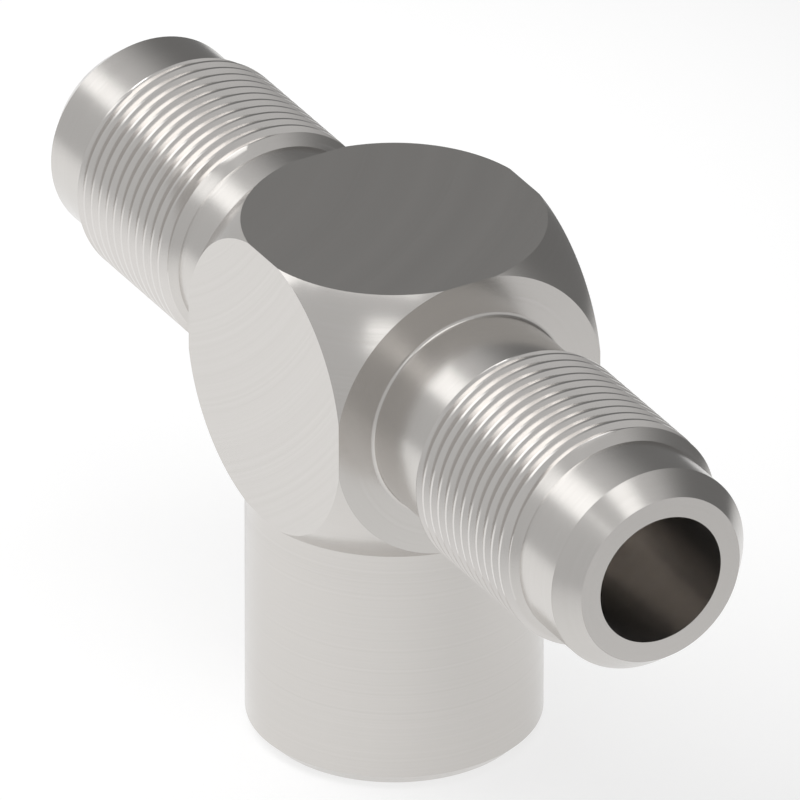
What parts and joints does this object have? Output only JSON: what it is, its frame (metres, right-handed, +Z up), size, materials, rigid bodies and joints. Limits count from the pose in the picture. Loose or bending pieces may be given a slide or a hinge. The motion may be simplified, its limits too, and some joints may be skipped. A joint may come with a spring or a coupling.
{
  "type": "flare tee adapter",
  "caption": "One-piece tubing tee: male 37 degree flare ends on a straight run, female pipe port in the branch, round-cornered block with wrench flats.",
  "frame": {"origin": "centre of the branch's end face, on which the tee stands", "axes": "+X along the run through both flared ends, +Z up the branch towards the run and the block's top flat"},
  "size_m": [0.1162, 0.0332, 0.0631],
  "materials": {
    "machined_steel": "fine-turned and milled bare stainless steel, satin"
  },
  "bodies": {
    "root": {"tee_body": "machined_steel"}
  },
  "joints": []
}
